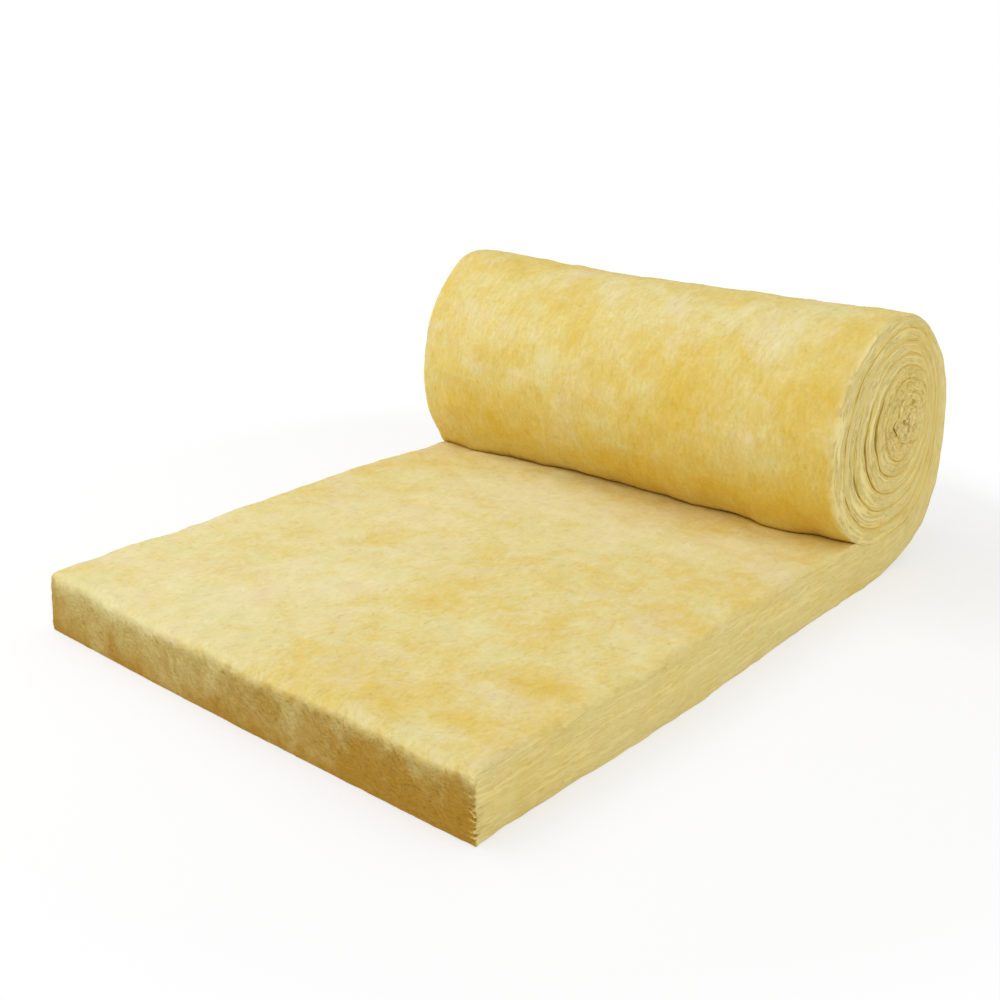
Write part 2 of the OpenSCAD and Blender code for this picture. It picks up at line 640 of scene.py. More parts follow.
    def corner_layers(self, from_corner: np.ndarray, depth: np.ndarray) -> tuple[np.ndarray, np.ndarray]:
        """The thin layers that stand out, one above the other, at the free end's right corner.

        Args:
            from_corner: Distance of each point from that corner's upright edge.
            depth: Height of each point in the straight blanket.

        Returns:
            How far each point bulges out, and how deep it is in a groove, from 0 to 1, which darkens it as
            painted shade.
        """
        shown = bell(from_corner, 0, self.corner_reach) * (self.across > 0)
        shown = shown * ease(self.through, 0.85, 0.55)
        shown = shown * np.clip(0.7 + self.corner_waves.heights(depth, 1 + 0 * depth), 0.2, 1)
        waves = self.corner_waves.heights(depth, from_corner)
        layer = np.abs(np.sin(math.pi * depth / self.corner_layer + 2 * waves))
        return self.corner_bulge * shown * (layer - 0.5), 0.35 * shown * (1 - layer) ** 2

    def mark_cut_faces(
        self, cut: np.ndarray, edge: np.ndarray, opening: np.ndarray, wound: np.ndarray
    ) -> None:
        """Notes at each point what the finish reads of the cut faces.

        Args:
            cut: 1 on the two long sides and the roll's ends, fading out over the skins.
            edge: 1 at the edges of a cut face, fading out over it.
            opening: How open the seams are.
            wound: 0 where the blanket lies flat, 1 in the roll.
        """
        half = self.path.width / 2
        fringe = self.front_fringe + self.left_fringe * ease(self.across, 0, -half)
        fringe = fringe - self.right_fringe * ease(self.across, 0, half)
        below_top = (1 - self.through) * self.path.thick / fringe
        end_face = np.clip(1 - self.along / 0.007, 0, 1)
        outer_skin = (self.path.half_turn(self.along) < 2) & (self.through < 0.5)
        self.marks["cut"] = cut
        self.marks["front"] = np.clip(below_top, 0, 1) * end_face
        self.marks["rough"] = cut * (0.44 + wound * (0.26 - 0.4 * self.path.farness(self.along)))
        # Painted shade: the seams between turns are darkened where they open, as the shade in the gaps.
        seam_shade_line = cut**2 * edge**2 * wound * ~outer_skin
        # Painted shade: a soft golden band along each seam between turns, as the shade beside the gap.
        self.seam_shade_band = cut**2 * self.by_seam() * wound * ~outer_skin
        self.marks["seam"] = seam_shade_line * np.clip(opening, 0, 1)

    def by_seam(self) -> np.ndarray:
        """How close each point is to a seam between two turns, from 0 to 1."""
        from_seam = np.minimum(self.through, 1 - self.through) * self.path.thickness(self.along)
        return bell(from_seam, 0, self.seam_side)

    def settle(self, points: np.ndarray) -> np.ndarray:
        """Lets the wound wool slump and shift a little, all its turns together.

        Args:
            points: The points of the neatly wound blanket.

        Returns:
            The points as they lie.
        """
        path, slump = self.path, self.slump
        x, y, z = points.T
        y = y - path.axis_y
        inside = np.clip(1 - (y**2 + (z - path.near_z) ** 2) / path.near_r**2, 0, 1)
        shift = sum(lumps.shifts(points) for lumps in self.whole_shifts)
        shift[:, 0] *= 0.3
        self.marks["eye"] = self.marks["cut"] * inside**6
        at_ends = (0.5 * inside + 2.0 * inside**6) * ease(np.abs(x), 0.40, 0.58)
        turn_shift = sum(lumps.shifts(points) for lumps in self.turn_shifts) * at_ends[:, None]
        turn_shift[:, 0] *= 0.5
        shift = (shift + turn_shift) * np.clip(z / 0.08, 0, 1)[:, None]
        shift[:, 1] += slump.eye_shift * inside**1.5
        shift[:, 2] += slump.eye_lift * inside**1.5
        shift += self.flat_swells(x)
        from_foot = np.degrees(np.arctan2(y, path.near_z - z))
        heel = slump.heel * bell(from_foot, slump.heel_at, slump.heel_width) * (1 - inside)
        shift[:, 1] += heel * np.sin(np.radians(from_foot))
        shift[:, 2] -= heel * np.cos(np.radians(from_foot))

        above = np.maximum(z - path.thick, 0)
        reach = ease(y, -0.42, -0.16) * ease(y, 0.05, -0.05) * np.clip(z / path.thick, 0, 1)
        push = slump.crease + slump.crease_left * ease(x, -0.1, -0.6) + slump.crease_waves.heights(x)
        push = push + slump.crease_right * bell(x, slump.crease_right_at, slump.crease_right_width)
        shift[:, 1] -= push * ease(x, 0.62, 0.46) * reach * np.exp(-above / slump.fade_up)

        upward = np.degrees(np.arctan2(z - path.near_z, -y))
        out = slump.shoulder * bell(upward, slump.shoulder_at, slump.shoulder_width)
        out = out - slump.hollow * bell(upward, slump.hollow_at, slump.hollow_width)
        out = out * ease(x, -0.34, -0.58) - slump.top_sag * bell(upward, 90, 40) * bell(x, -0.1, 0.35)
        out = out * (1 - inside) * (z > path.thick)
        shift[:, 1] -= out * np.cos(np.radians(upward))
        shift[:, 2] += out * np.sin(np.radians(upward))
        return points + shift

    def flat_swells(self, x: np.ndarray) -> np.ndarray:
        """How the flat length's sides and free end swell, as a shift of each point.

        Args:
            x: Place of each point across the blanket.

        Returns:
            The shifts, one row each.
        """
        slump, s, half = self.slump, self.along, self.path.width / 2
        at_left = ease(x, -0.5 * half, -half)
        side = slump.side_swell * bell(s, slump.side_swell_at, slump.side_swell_length)
        drawn = slump.left_draw * bell(s, 0, slump.left_draw_reach) * (0.8 * self.through + 0.2)
        end = slump.end_swell * (1 - (x / half) ** 2) * ease(s, slump.end_swell_reach, 0)
        raised = slump.left_swell * bell(s, slump.left_swell_at, slump.left_swell_length)
        raised = raised + slump.corner_lift * bell(s, slump.corner_lift_at, slump.corner_lift_length)
        outward = side * ease(x, 0.4 * half, half) + drawn * at_left
        return np.stack([outward, -end, raised * at_left * self.through], -1)

    def swell_skins(self, points: np.ndarray, normals: np.ndarray) -> np.ndarray:
        """Gives the skins that show their soft lumps.

        Args:
            points: The points of the settled blanket.
            normals: The blanket's normal at each point.

        Returns:
            The points with the lumps.
        """
        path, s = self.path, self.along
        on_top = (self.through > 0.999) * ease(s, path.crease_along, path.crease_along - 0.03)
        on_roll = (self.through < 0.001) * ease(s, path.flat_l + 0.02, path.flat_l + 0.12)
        on_roll = on_roll * ease(s, path.crease_on_roll, path.crease_on_roll - 0.03)
        skin = (on_top + on_roll) * (1 - 0.5 * self.marks["cut"])
        height = sum(lumps.heights(*points.T) for lumps in self.skin_lumps)
        before_crease = bell(s, path.crease_along - 0.022, 0.02) * on_top
        height = height + before_crease * self.crease_humps.heights(points[:, 0])
        moved = points + normals * (skin * height)[:, None]
        moved[:, 2] = np.maximum(moved[:, 2], 0)
        return moved

    def store_marks(self, mesh: bpy.types.Mesh) -> None:
        """Stores what the finish reads: the place on the straight strip and the wool's marks."""
        depth = self.through * self.path.thickness(self.along)
        lay = np.stack([self.across, self.along, depth], -1)
        mesh.attributes.new("lay", "FLOAT_VECTOR", "POINT").data.foreach_set("vector", lay.ravel())
        self.marks["tone"] = self.tones()
        for name, values in self.marks.items():
            mesh.attributes.new(name, "FLOAT", "POINT").data.foreach_set("value", values)

    def tones(self) -> np.ndarray:
        """How gold, above 0, or pale, below 0, the wool is at each point, some painted shade and light
        included.
        """
        path, x, s = self.path, self.across, self.along
        on_top = (self.through > 0.5) & (s < path.flat_l)
        outside = (self.through < 0.5) & (path.half_turn(s) >= 0)
        near_side = outside & (path.half_turn(s) == 1)
        shown = on_top | near_side | (outside & (path.half_turn(s) == 0))
        # Paler towards the left of the top's front part and golder to the right: partly the wool's own tone,
        # partly painted light falling from the left.
        tone = (0.03 - 0.10 * ease(x, 0.30, -0.15)) * ease(s, 0.7, 0.05) * on_top
        tone = tone + 0.15 * bell(s, path.crease_along, 0.06) * ease(x, -0.1, 0.5) * on_top
        # Golder over the roll from its top on, and more towards the foot of its near side: partly the roll's
        # own gold, partly painted shade.
        low = ease(path.angle(s), 0.35 * math.pi, 0.85 * math.pi)
        roll_gold_and_shade = ease(s, path.starts[1] - 0.45, path.starts[1] - 0.05)
        tone = tone + 0.08 * roll_gold_and_shade * outside + 0.17 * low * near_side
        # Painted shade: golder right along the crease, on the flat length and on the roll, as the shade in
        # it.
        crease_shade = bell(s, path.crease_along, 0.010) * on_top
        crease_shade = crease_shade + bell(s, path.crease_on_roll, 0.010) * near_side
        tone = tone + 0.2 * crease_shade
        for patch in self.patches:
            spot = bell(x, patch.across, patch.wide) * bell(s, patch.along, patch.long)
            tone = tone + patch.tone * spot * shown
        front = self.marks["front"]
        # The free end's ochre: partly the cut ends' own colour, partly painted shade on this face turned
        # from the light, deeper towards the right and down towards the floor.
        front_brown_and_shade = 0.13 + 0.17 * ease(x, 0.0, 0.55) + 0.34 * (0.40 - self.through)
        tone = tone * (1 - self.marks["cut"]) * (1 - front) + front_brown_and_shade * front
        radius = path.radii[np.maximum(path.half_turn(s), 0)]
        # Golder along the seams between turns: painted shade beside the gaps.
        return tone + 0.4 * self.seam_shade_band * ease(radius, 0.03, 0.12)

    def bed_faces(self, mesh: bpy.types.Mesh, bed: Bed) -> np.ndarray:
        """Finds the faces that loose fibres of one bed lie on.

        Args:
            mesh: The finished blanket.
            bed: Which of its faces.

        Returns:
            The four corner points' numbers of each face, one row each.
        """
        totals = np.empty(len(mesh.polygons), int)
        first = np.empty(len(mesh.polygons), int)
        corners = np.empty(len(mesh.loops), int)
        mesh.polygons.foreach_get("loop_total", totals)
        mesh.polygons.foreach_get("loop_start", first)
        mesh.loops.foreach_get("vertex_index", corners)
        faces = corners[first[totals == 4][:, None] + np.arange(4)]
        through, along = self.through[faces], self.along[faces].mean(1)
        if bed is Bed.SIDES:
            return faces[(np.abs(self.across[faces]) > 0.499 * self.path.width).all(1)]
        if bed is Bed.FREE_END:
            return faces[(self.along[faces] < 0.001).all(1) & (self.marks["front"][faces] > 0.3).all(1)]
        if bed is Bed.CORNERS:
            on_side = (np.abs(self.across[faces]) > 0.499 * self.path.width).all(1)
            return faces[on_side & (along < 0.012) & (through < 0.8).all(1)]
        if bed is Bed.SLAB:
            return faces[(through > 0.999).all(1) & (along < self.path.crease_along)]
        on_roll = (along > self.path.flat_l + 0.06) & (along < self.path.crease_on_roll)
        return faces[(through < 0.001).all(1) & on_roll]


@dataclass(frozen=True)
class LooseFibres:
    """Fibres that stand off one bed of the blanket, as one mesh of thin closed spindles.

    Attributes:
        bed: The face that they lie on.
        count: Number of fibres.
        seed: Picks another scatter.
        length: Shortest and longest fibre.
        half_width: Least and greatest half width at a fibre's middle.
        arch: Least and greatest height of a fibre's middle above the face.
        curl: How far a middle bends sideways, as a share of the length.
        spread: Greatest angle in degrees between a fibre and the grain.
        sprung: Share of the fibres with one end standing up.
        spring: Least and greatest height of such an end.
        shade: Darkest and lightest fibre, beside the wool's own colour.
    """

    bed: Bed
    count: int
    seed: int
    length: tuple[float, float]
    half_width: tuple[float, float] = (0.00012, 0.00026)
    arch: tuple[float, float] = (0.0, 0.0003)
    curl: float = 0.06
    spread: float = 40.0
    sprung: float = 0.0
    spring: tuple[float, float] = (0.001, 0.002)
    shade: tuple[float, float] = (0.96, 1.05)

    def build(self, blanket: Blanket, mesh: bpy.types.Mesh) -> bpy.types.Object:
        """Scatters the fibres over their bed.

        Args:
            blanket: The blanket that they lie on.
            mesh: The blanket's finished mesh.

        Returns:
            The mesh object of all the fibres.
        """
        draw = np.random.default_rng(self.seed)
        faces = blanket.bed_faces(mesh, self.bed)
        corner = blanket.read_points(mesh)[faces]
        cross = np.cross(corner[:, 2] - corner[:, 0], corner[:, 3] - corner[:, 1])
        area = np.linalg.norm(cross, axis=1)
        picked = draw.choice(len(faces), self.count, p=area / area.sum())
        faces, corner = faces[picked], corner[picked]
        normal = cross[picked] / area[picked][:, None]
        u, v = draw.random((2, self.count))
        share = np.stack([(1 - u) * (1 - v), u * (1 - v), u * v, (1 - u) * v], -1)
        root = (corner * share[..., None]).sum(1)
        verts = self.spindles(draw, root, normal, self.grain(blanket, faces, corner))
        obj = self.add_mesh(verts)
        values = {name: (blanket.marks[name][faces] * share).sum(1) for name in ("tone", "cut", "front")}
        values["shade"] = draw.uniform(*self.shade, self.count)
        for name, value in values.items():
            attribute = obj.data.attributes.new(name, "FLOAT", "POINT")
            attribute.data.foreach_set("value", np.repeat(value, verts.shape[1]))
        return obj

    def grain(self, blanket: Blanket, faces: np.ndarray, corner: np.ndarray) -> np.ndarray:
        """The way the fibres mostly lie: along the blanket, or across it at the free end.

        Args:
            blanket: The blanket that they lie on.
            faces: The corner points' numbers of each fibre's face.
            corner: The places of those corners.

        Returns:
            One edge of each face, which runs that way.
        """
        way = blanket.across if self.bed is Bed.FREE_END else blanket.along
        first_runs = np.abs(way[faces[:, 1]] - way[faces[:, 0]])
        second_runs = np.abs(way[faces[:, 3]] - way[faces[:, 0]])
        other = np.where((first_runs > second_runs)[:, None], corner[:, 1], corner[:, 3])
        return other - corner[:, 0]

    def spindles(
        self, draw: np.random.Generator, root: np.ndarray, normal: np.ndarray, grain: np.ndarray
    ) -> np.ndarray:
        """Shapes each fibre.

        Args:
            draw: The random numbers.
            root: The point of the face below each fibre's middle.
            normal: The face's normal there.
            grain: The way the fibres mostly lie there.

        Returns:
            For each fibre its start, three points round its middle, and its end.
        """
        count = (self.count, 1)
        lying = grain - normal * (grain * normal).sum(1, keepdims=True)
        lying /= np.linalg.norm(lying, axis=1, keepdims=True)
        beside = np.cross(normal, lying)
        turn = np.radians(draw.uniform(-self.spread, self.spread, count))
        lying, beside = (
            lying * np.cos(turn) + beside * np.sin(turn),
            beside * np.cos(turn) - lying * np.sin(turn),
        )
        half = draw.uniform(*self.length, count) / 2
        thick = draw.uniform(*self.half_width, count)
        curl = 2 * half * self.curl * draw.standard_normal(count)
        stands = draw.random(count) < self.sprung
        middle = root + normal * draw.uniform(*self.arch, count) + beside * curl
        start = root - lying * half - normal * thick
        end = root + lying * half + normal * np.where(stands, draw.uniform(*self.spring, count), -thick)
        angles = (0, 2 * math.pi / 3, 4 * math.pi / 3)
        ring = [middle + thick * (normal * math.cos(a) + beside * math.sin(a)) for a in angles]
        verts = np.stack([start, *ring, end], 1)
        verts[..., 2] = np.maximum(verts[..., 2], 0.0005)
        return verts

    def add_mesh(self, verts: np.ndarray) -> bpy.types.Object:
        """Makes one mesh of closed three-sided spindles.

        Args:
            verts: For each fibre its start, three points round its middle, and its end.

        Returns:
            The mesh object.
        """
        corners = [(0, 1, 2), (0, 2, 3), (0, 3, 1), (4, 2, 1), (4, 3, 2), (4, 1, 3)]
        first = np.arange(len(verts))[:, None, None] * verts.shape[1]
        faces = (first + np.array(corners)).reshape(-1, 3)
        mesh = bpy.data.meshes.new(self.bed.value)
        mesh.from_pydata(verts.reshape(-1, 3), [], faces)
        mesh.polygons.foreach_set("use_smooth", np.ones(len(faces), bool))
        self.add_map(mesh, faces, verts.shape[1])
        obj = bpy.data.objects.new(self.bed.value, mesh)
        bpy.context.scene.collection.objects.link(obj)
        return obj

    @staticmethod
    def add_map(mesh: bpy.types.Mesh, faces: np.ndarray, points_each: int) -> None:
        """Gives each fibre a square of its own in a UV map named OFBake."""
        spots = np.array([(0.1, 0.5), (0.5, 0.9), (0.5, 0.1), (0.6, 0.5), (0.9, 0.5)])
        corner = faces.ravel()
        fibre = corner // points_each
        grid = math.ceil(math.sqrt(fibre.max() + 1))
        cell = np.stack([fibre % grid, fibre // grid], -1)
        layer = mesh.uv_layers.new(name="OFBake")
        layer.data.foreach_set("uv", ((cell + spots[corner % points_each]) / grid).ravel())


# Shades above 1 make the fibres of the skins and the free end lighter than the wool below them: partly their
# own paler tone, partly painted highlight on the raised fibres.
LOOSE_FIBRES = (
    LooseFibres(
        Bed.SLAB, 30000, 21, (0.010, 0.035), half_width=(0.00008, 0.00018), arch=(0.0, 0.0001),
        shade=(1.0, 1.14),
    ),
    LooseFibres(
        Bed.ROLL, 30000, 22, (0.010, 0.035), half_width=(0.00008, 0.00018), arch=(0.0, 0.0001),
        shade=(0.98, 1.12),
    ),
    LooseFibres(
        Bed.SIDES, 33000, 23, (0.008, 0.028), half_width=(0.00015, 0.00034), arch=(0.0, 0.0004),
        curl=0.05, spread=9.0, sprung=0.02, shade=(0.91, 1.09),
    ),
    LooseFibres(
        Bed.FREE_END, 16000, 24, (0.006, 0.020), half_width=(0.0001, 0.00022), arch=(0.0, 0.0001),
        curl=0.12, spread=20.0, sprung=0.004, shade=(1.0, 1.35),
    ),
    LooseFibres(
        Bed.CORNERS, 120, 25, (0.010, 0.024), half_width=(0.0004, 0.0010), arch=(0.0002, 0.0010),
        curl=0.05, spread=8.0, sprung=0.0, shade=(0.90, 1.12),
    ),
)


@dataclass
class NodeSheet:
    """A node tree that is filled one node at a time."""

    tree: bpy.types.NodeTree

    def add(self, kind: str, inputs: dict | None = None, **settings: object) -> bpy.types.Node:
        """Adds one node.

        Args:
            kind: The node's type name, without the ShaderNode in front.
            inputs: Socket names or numbers with their values or the sockets that feed them.
            **settings: The node's own settings.

        Returns:
            The new node.
        """
        node = self.tree.nodes.new("ShaderNode" + kind)
        for name, value in settings.items():
            setattr(node, name, value)
        for key, value in (inputs or {}).items():
            self.feed(node.inputs[key], value)
        return node

    def feed(self, socket: bpy.types.NodeSocket, value: object) -> None:
        """Sets a socket to a value, or links it to the socket that feeds it."""
        if isinstance(value, bpy.types.NodeSocket):
            self.tree.links.new(value, socket)
        else:
            socket.default_value = value

    def math(self, operation: str, first: object, second: object = 0.0) -> bpy.types.NodeSocket:
        """Adds a Math node and returns its value."""
        return self.add("Math", {0: first, 1: second}, operation=operation).outputs[0]

    def times(self, first: object, second: object) -> bpy.types.NodeSocket:
        """Multiplies two values."""
        return self.math("MULTIPLY", first, second)

    def total(self, *parts: tuple[object, float], more: float = 0.0) -> bpy.types.NodeSocket:
        """Adds up values, each times its weight, and a constant."""
        result: object = more
        for value, weight in parts:
            inputs = {0: value, 1: weight, 2: result}
            result = self.add("Math", inputs, operation="MULTIPLY_ADD").outputs[0]
        return result

    def step(self, value: object, start: float, end: float) -> bpy.types.NodeSocket:
        """Adds a smooth step of a value from 0 at start to 1 at end and returns it."""
        inputs = {"Value": value, "From Min": start, "From Max": end}
        return self.add("MapRange", inputs, interpolation_type="SMOOTHSTEP").outputs[0]

    def mix(self, share: object, first: object, second: object, way: str = "MIX") -> bpy.types.NodeSocket:
        """Adds a mix of two colours and returns the mixed colour."""
        inputs = {0: share, 6: first, 7: second}
        return self.add("Mix", inputs, data_type="RGBA", blend_type=way).outputs[2]

    def ramp(self, value: object, stops: list[tuple[float, Colour]]) -> bpy.types.NodeSocket:
        """Adds a colour ramp with display colours at its stops and returns its colour."""
        node = self.add("ValToRGB", {0: value})
        elements = node.color_ramp.elements
        while len(elements) < len(stops):
            elements.new(0.5)
        for element, (place, colour) in zip(elements, stops):
            element.position = place
            element.color = linear(colour)
        return node.outputs[0]

    def noise(
        self, place: bpy.types.NodeSocket, scale: float, detail: float, **more: object
    ) -> bpy.types.NodeSocket:
        """Adds a noise texture and returns its value; more holds other sockets by name."""
        inputs = {"Vector": place, "Scale": scale, "Detail": detail}
        inputs.update({name.replace("_", " ").title(): value for name, value in more.items()})
        return self.add("TexNoise", inputs).outputs[0]

    def stretched(
        self, place: bpy.types.NodeSocket, scale: tuple[float, float, float], turn: float = 0.0
    ) -> bpy.types.NodeSocket:
        """Scales a place on each axis, after a turn about Z in degrees, and returns it."""
        turned = self.add("Mapping", {"Vector": place, "Rotation": (0, 0, math.radians(turn))})
        return self.add("Mapping", {"Vector": turned.outputs[0], "Scale": scale}).outputs[0]

    def read(self, name: str, output: str = "Fac") -> bpy.types.NodeSocket:
        """Reads one of the piece's own attributes."""
        return self.add("Attribute", attribute_name=name).outputs[output]

    def warm(self, value: object) -> bpy.types.NodeSocket:
        """Turns a strength into a grey that is yellower the darker it is."""
        green, blue = self.math("POWER", value, 1.25), self.math("POWER", value, 2.0)
        return self.add("CombineColor", {0: value, 1: green, 2: blue}).outputs[0]


@dataclass(frozen=True)
class WoolColours:
    """The wool's cloudy colours, in a node group that the blanket and its loose fibres share."""

    pale: Colour = (236, 223, 172)
    cream: Colour = (232, 217, 154)
    straw: Colour = (228, 204, 120)
    gold: Colour = (224, 189, 74)
    amber: Colour = (216, 167, 38)
    beige: Colour = (230, 211, 167)
    green: Colour = (225, 217, 156)
    cut: Colour = (238, 216, 135)
    # The free end's ochres: partly the cut ends' own colour, partly painted shade.
    pale_ochre: Colour = (216, 199, 132)
    ochre: Colour = (193, 170, 100)
    deep_ochre: Colour = (173, 130, 36)

    def group(self) -> bpy.types.NodeTree:
        """Builds the group: from a place and three tones to a colour and the free end's share."""
        tree = bpy.data.node_groups.new("wool_colours", "ShaderNodeTree")
        face = tree.interface
        face.new_socket(name="Place", in_out="INPUT", socket_type="NodeSocketVector")
        for name in ("Tone", "Cut", "Front"):
            face.new_socket(name=name, in_out="INPUT", socket_type="NodeSocketFloat")
        face.new_socket(name="Colour", in_out="OUTPUT", socket_type="NodeSocketColor")
        face.new_socket(name="End", in_out="OUTPUT", socket_type="NodeSocketFloat")
        given = tree.nodes.new("NodeGroupInput").outputs
        result = tree.nodes.new("NodeGroupOutput").inputs
        sheet = NodeSheet(tree)
        place, tone = given["Place"], given["Tone"]
        clouds = sheet.noise(place, 3.6, 2.0, roughness=0.5)
        mottle = sheet.noise(place, 13.0, 3.0, roughness=0.72, distortion=0.4)
        grain = sheet.noise(place, 120.0, 2.0, roughness=0.6)
        ripe = sheet.total((clouds, 0.34), (mottle, 0.42), (grain, 0.20), (tone, 0.8), more=0.005)
        stops = ((0.36, self.pale), (0.46, self.cream), (0.56, self.straw), (0.74, self.gold))
        skin = sheet.ramp(ripe, [*stops, (0.95, self.amber)])
        tint = sheet.noise(sheet.stretched(place, (9.0, 9.0, 12.0), 31.0), 1.0, 3.0, roughness=0.6)
        tinted = sheet.times(sheet.step(ripe, 0.68, 0.50), 0.58)
        skin = sheet.mix(sheet.times(sheet.step(tint, 0.47, 0.74), tinted), skin, linear(self.beige))
        skin = sheet.mix(sheet.times(sheet.step(tint, 0.51, 0.28), tinted), skin, linear(self.green))
        side = sheet.mix(sheet.times(given["Cut"], 0.58), skin, linear(self.cut))
        # The free end's ochres stand partly for the painted shade on that face.
        end = sheet.ramp(
            sheet.total((clouds, 0.4), (mottle, 0.6), (tone, 0.8)),
            [(0.28, self.pale_ochre), (0.50, self.ochre), (0.72, self.deep_ochre)],
        )
        end_share = sheet.total((given["Front"], 1.0), (mottle, 0.8), (clouds, 0.6), (grain, 0.2), more=-0.8)
        end_share = sheet.times(sheet.step(end_share, -0.05, 0.95), sheet.step(given["Front"], 0.0, 0.3))
        sheet.feed(result["Colour"], sheet.mix(end_share, side, end))
        sheet.feed(result["End"], end_share)
        return tree


@dataclass(frozen=True)
class WoolFinish:
    """Matted glass wool: fibres in the skins, thin layers in the cut faces."""

    colours: bpy.types.NodeTree
    # Painted shade: the dark brown mixed into the seams, grooves and slits, as the shade in them.
    seam: Colour = (138, 104, 44)
    sheen_tint: Colour = (238, 224, 168)
    roughness: float = 0.95
    sheen: float = 0.2
    sheen_roughness: float = 0.6
    gloss: float = 0.15

    def start(self, name: str) -> tuple[bpy.types.Material, NodeSheet, bpy.types.Node]:
        """Starts a material with the wool's colours at each place.

        Args:
            name: The material's name.

        Returns:
            The material, its node sheet and the node with the colours.
        """
        material = bpy.data.materials.new(name)
        material.use_nodes = True
        material.node_tree.nodes.clear()
        sheet = NodeSheet(material.node_tree)
        inputs = {"Place": sheet.add("TexCoord").outputs["Object"]}
        inputs.update({mark.title(): sheet.read(mark) for mark in ("tone", "cut", "front")})
        wool = sheet.add("Group", node_tree=self.colours)
        for socket, value in inputs.items():
            sheet.feed(wool.inputs[socket], value)
        return material, sheet, wool

    def finish(self, sheet: NodeSheet, colour: object, more: dict) -> None:
        """Adds the shader: matt, with the soft sheen of loose fibres."""
        shader = sheet.add("BsdfPrincipled", {"Base Color": colour, **more})
        shader.inputs["Roughness"].default_value = self.roughness
        shader.inputs["Specular IOR Level"].default_value = self.gloss
        shader.inputs["Sheen Weight"].default_value = self.sheen
        shader.inputs["Sheen Roughness"].default_value = self.sheen_roughness
        shader.inputs["Sheen Tint"].default_value = linear(self.sheen_tint)
        sheet.add("OutputMaterial", {"Surface": shader.outputs[0]})

    def blanket(self) -> bpy.types.Material:
        """The blanket's own finish."""
        material, sheet, wool = self.start("glass_wool")
        lay, end = sheet.read("lay", "Vector"), wool.outputs["End"]
        on_roll = sheet.step(sheet.add("SeparateXYZ", {0: lay}).outputs["Y"], 1.3, 1.7)
        streaked = sheet.total((on_roll, 0.13), more=0.17)
        matted = sheet.times(sheet.total((self.matted(sheet, lay), 1.0), more=-0.5), streaked)
        curls = sheet.noise(
            sheet.stretched(lay, (75.0, 75.0, 320.0)), 1.0, 3.0, roughness=0.6, distortion=0.8
        )
        curled = sheet.times(sheet.total((curls, 1.0), more=-0.5), end)
        layers = sheet.noise(
            sheet.stretched(lay, (14.0, 9.0, 140.0)), 1.0, 3.0, roughness=0.6, distortion=0.3
        )
        rough = sheet.read("rough")
        lined = sheet.times(sheet.total((layers, 1.0), more=-0.5), rough)
        split = sheet.step(sheet.math("ABSOLUTE", sheet.total((layers, 1.0), more=-0.5)), 0.05, 0.0)
        split = sheet.times(split, rough)
        object_place = sheet.add("TexCoord").outputs["Object"]
        crumples = sheet.noise(object_place, 55.0, 2.0, roughness=0.6, distortion=1.5)
        crumpled = sheet.times(sheet.step(crumples, 0.48, 0.68), sheet.read("eye"))
        shade = sheet.total(
            (matted, 1.0), (curled, 0.70), (lined, 0.55), (split, -0.2), (crumpled, -0.42), more=1.0
        )
        colour = sheet.mix(1.0, wool.outputs["Colour"], sheet.warm(shade), "MULTIPLY")
        # Mixes the painted seam shade into the colour.
        colour = sheet.mix(sheet.times(sheet.read("seam"), 0.5), colour, linear(self.seam))
        height = sheet.total((matted, 0.6), (curled, 0.12), (lined, 0.9), (split, -0.3), (crumpled, -0.4))
        bump = sheet.add("Bump", {"Height": height, "Distance": 0.004, "Strength": 0.5})
        self.finish(sheet, colour, {"Normal": bump.outputs[0]})
        return material

    def loose_fibres(self) -> bpy.types.Material:
        """The loose fibres' finish: the wool's colours, each fibre a little lighter or darker."""
        material, sheet, wool = self.start("loose_wool")
        colour = sheet.mix(1.0, wool.outputs["Colour"], sheet.warm(sheet.read("shade")), "MULTIPLY")
        self.finish(sheet, colour, {})
        return material

    @staticmethod
    def matted(sheet: NodeSheet, lay: bpy.types.NodeSocket) -> bpy.types.NodeSocket:
        """Matted fibres: two fields of streaks that cross, and keep to the blanket as it winds."""
        streaks = [
            sheet.noise(
                sheet.stretched(lay, (110.0, 16.0, 110.0), turn), 1.0, 2.0, distortion=0.4, roughness=0.5
            )
            for turn in (14.0, -18.0)
        ]
        return sheet.total((streaks[0], 0.5), (streaks[1], 0.5))


@dataclass(frozen=True)
class CameraView:
    """The photograph's view: where the camera stands and how it is turned, in degrees."""

    place: tuple[float, float, float] = (1.7883, -2.1730, 1.2294)
    azimuth: float = 40.687
    elevation: float = 20.057
    roll: float = 0.209
    lens: float = 47.96
    sensor: float = 36.0

    def build(self) -> bpy.types.Object:
        """Adds the camera and makes it the scene's own."""
        a, e, r = (math.radians(angle) for angle in (self.azimuth, self.elevation, self.roll))
        back = Vector((math.sin(a) * math.cos(e), -math.cos(a) * math.cos(e), math.sin(e)))
        right = Vector((math.cos(a), math.sin(a), 0))
        up = back.cross(right)
        turned = right * math.cos(r) + up * math.sin(r)
        tilted = up * math.cos(r) - right * math.sin(r)
        bpy.ops.object.camera_add(location=self.place)
        camera = bpy.context.active_object
        axes = Matrix((turned, tilted, back)).transposed()
        camera.matrix_world = Matrix.Translation(self.place) @ axes.to_4x4()
        camera.data.lens = self.lens
        camera.data.sensor_width = self.sensor
        bpy.context.scene.camera = camera
        return camera


@dataclass(frozen=True)
class Lamp:
    """A soft square lamp that faces a point of the object."""

    name: str
    place: tuple[float, float, float]
    aim: tuple[float, float, float]
    size: float
    watts: float

    def build(self) -> bpy.types.Object:
        """Adds the lamp and turns it to its aim."""
        bpy.ops.object.light_add(type="AREA", location=self.place)
        lamp = bpy.context.active_object
        lamp.name = self.name
        lamp.data.size = self.size
        lamp.data.energy = self.watts
        towards = Vector(self.aim) - Vector(self.place)
        lamp.rotation_euler = towards.to_track_quat("-Z", "Y").to_euler()
        return lamp


